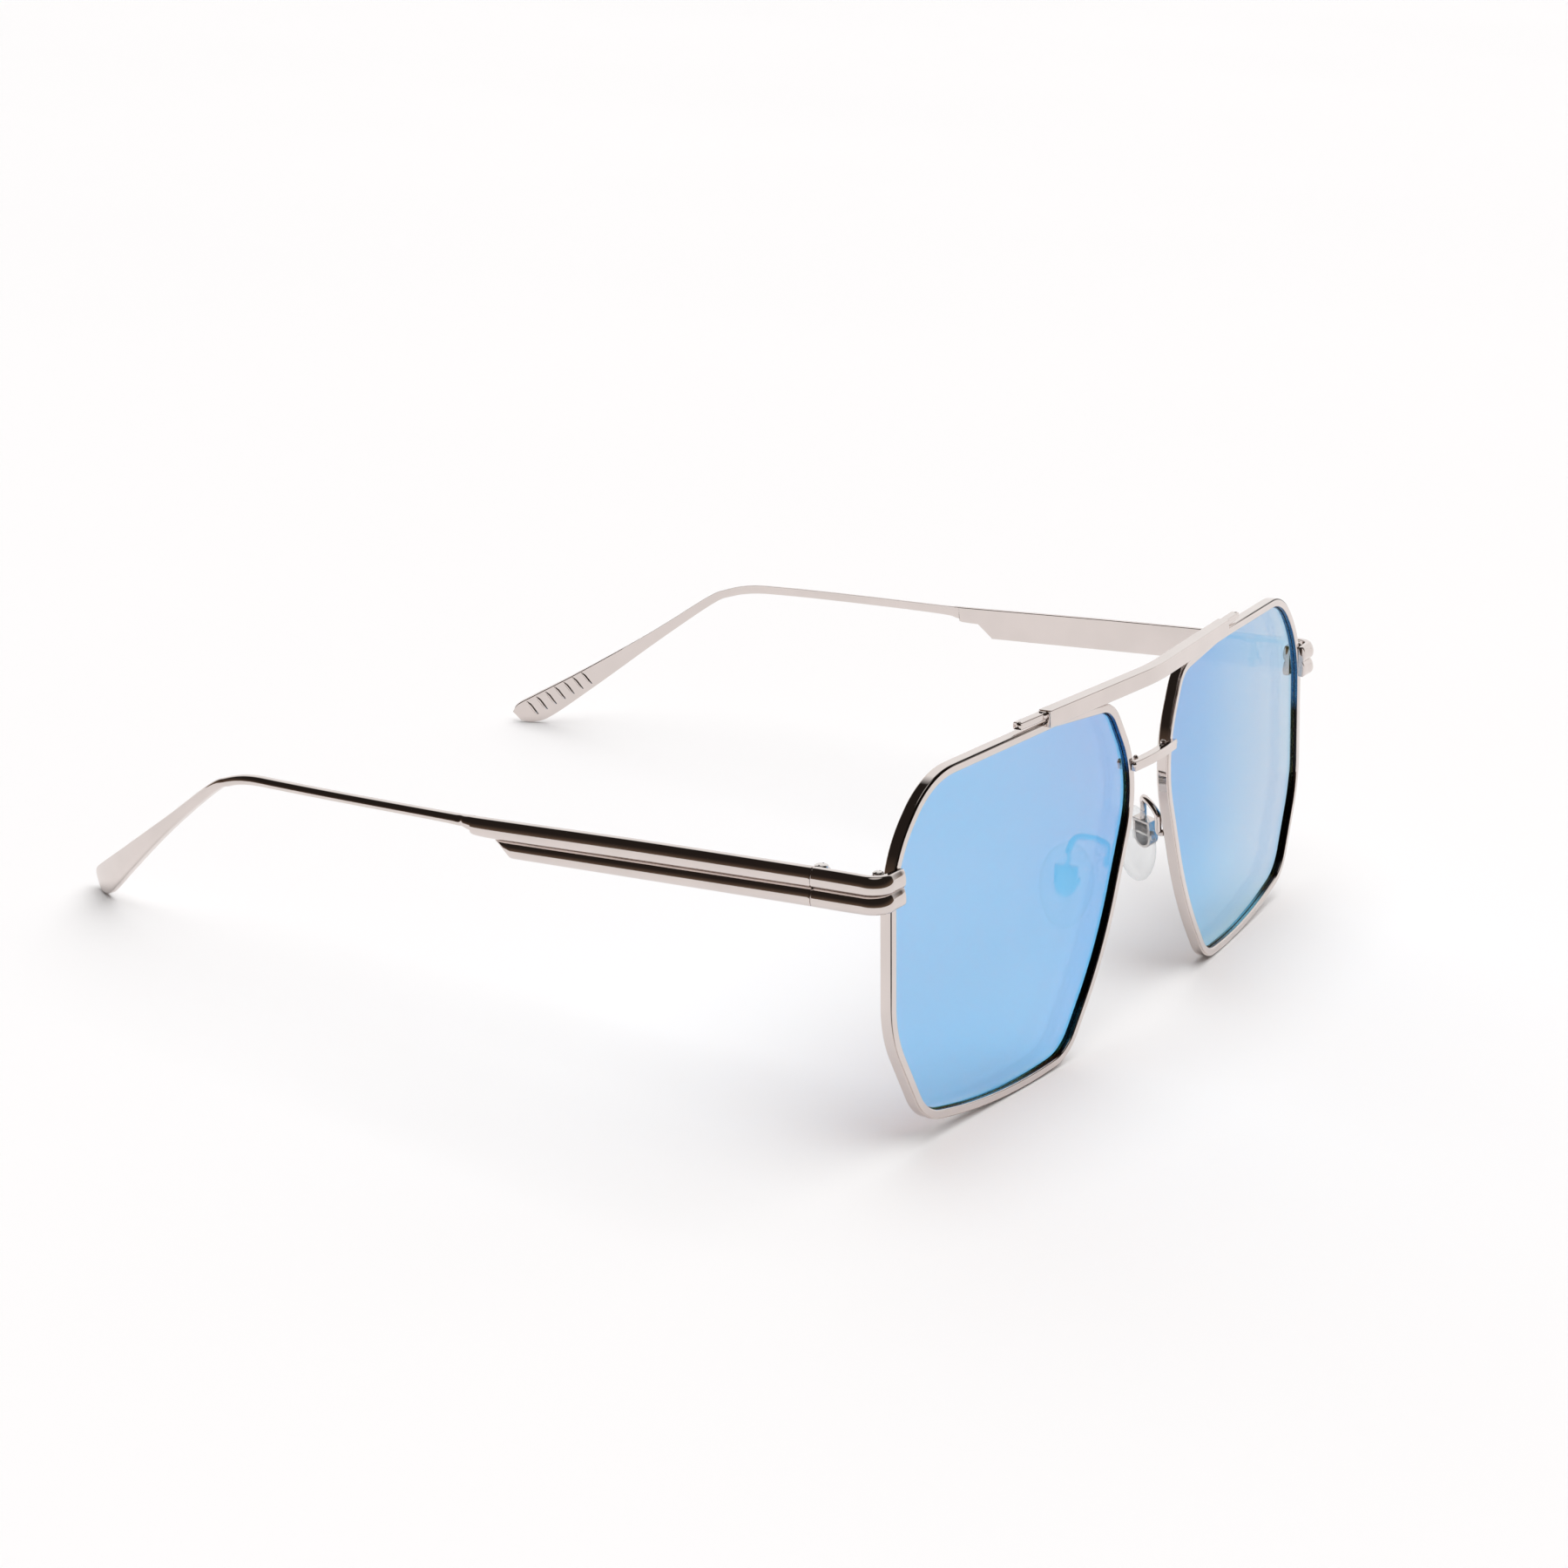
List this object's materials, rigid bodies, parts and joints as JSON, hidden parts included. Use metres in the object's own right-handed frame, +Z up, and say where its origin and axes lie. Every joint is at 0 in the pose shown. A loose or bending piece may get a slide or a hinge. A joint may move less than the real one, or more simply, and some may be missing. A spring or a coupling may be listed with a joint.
{
  "type": "aviator sunglasses",
  "caption": "Full-rim metal aviator sunglasses with a brow bar, a lower bridge, flat mirrored lenses, twin-rib temples that fold on barrel hinges and rocking nose pads.",
  "frame": {"origin": "under the middle of the footprint, on the surface the open sunglasses stand on", "axes": "+Z up, the lenses face -Y, +X is the wearer's left and the temples run towards +Y"},
  "size_m": [0.1418, 0.1518, 0.0524],
  "materials": {
    "polished_metal": "mirror-polished silver-coloured plating with a faint warm tone",
    "screw_steel": "fine turned steel",
    "lens": "smooth tinted lens with a light blue mirror coating",
    "silicone": "soft clear silicone, smooth"
  },
  "bodies": {
    "front": {"brow_bar": "polished_metal", "closing_block_lower_left": "polished_metal", "closing_block_lower_right": "polished_metal", "closing_block_upper_left": "polished_metal", "closing_block_upper_right": "polished_metal", "closing_screw_left": "screw_steel", "closing_screw_right": "screw_steel", "end_piece_left": "polished_metal", "end_piece_right": "polished_metal", "hinge_leaf_front_left": "polished_metal", "hinge_leaf_front_right": "polished_metal", "hinge_screw_left": "screw_steel", "hinge_screw_right": "screw_steel", "lens_left": "lens", "lens_right": "lens", "lower_bridge": "polished_metal", "pad_arm_left": "polished_metal", "pad_arm_right": "polished_metal", "pad_box_left": "polished_metal", "pad_box_right": "polished_metal", "pad_screw_left": "screw_steel", "pad_screw_right": "screw_steel", "rim_left": "polished_metal", "rim_right": "polished_metal"},
    "temple_left": {"temple_left": "polished_metal", "hinge_leaf_temple_left": "polished_metal"},
    "pad_left": {"nose_pad_left": "silicone"},
    "temple_right": {"temple_right": "polished_metal", "hinge_leaf_temple_right": "polished_metal"},
    "pad_right": {"nose_pad_right": "silicone"}
  },
  "joints": [
    {"name": "temple_left_fold", "type": "hinge", "parent": "front", "child": "temple_left", "pos_m": [0.068, -0.06017, 0.03608], "axis": [0, 0.0819, 0.9966], "range_deg": [0, 78.5]},
    {"name": "temple_right_fold", "type": "hinge", "parent": "front", "child": "temple_right", "pos_m": [-0.068, -0.06017, 0.03608], "axis": [0, -0.0819, -0.9966], "range_deg": [0, 86]},
    {"name": "pad_left_rock", "type": "hinge", "parent": "front", "child": "pad_left", "pos_m": [0.01294, -0.0684, 0.0224], "axis": [-0.3409, -0.9401, 0], "range_deg": [-8, 8]},
    {"name": "pad_right_rock", "type": "hinge", "parent": "front", "child": "pad_right", "pos_m": [-0.01294, -0.0684, 0.0224], "axis": [-0.3409, 0.9401, 0], "range_deg": [-8, 8]}
  ]
}
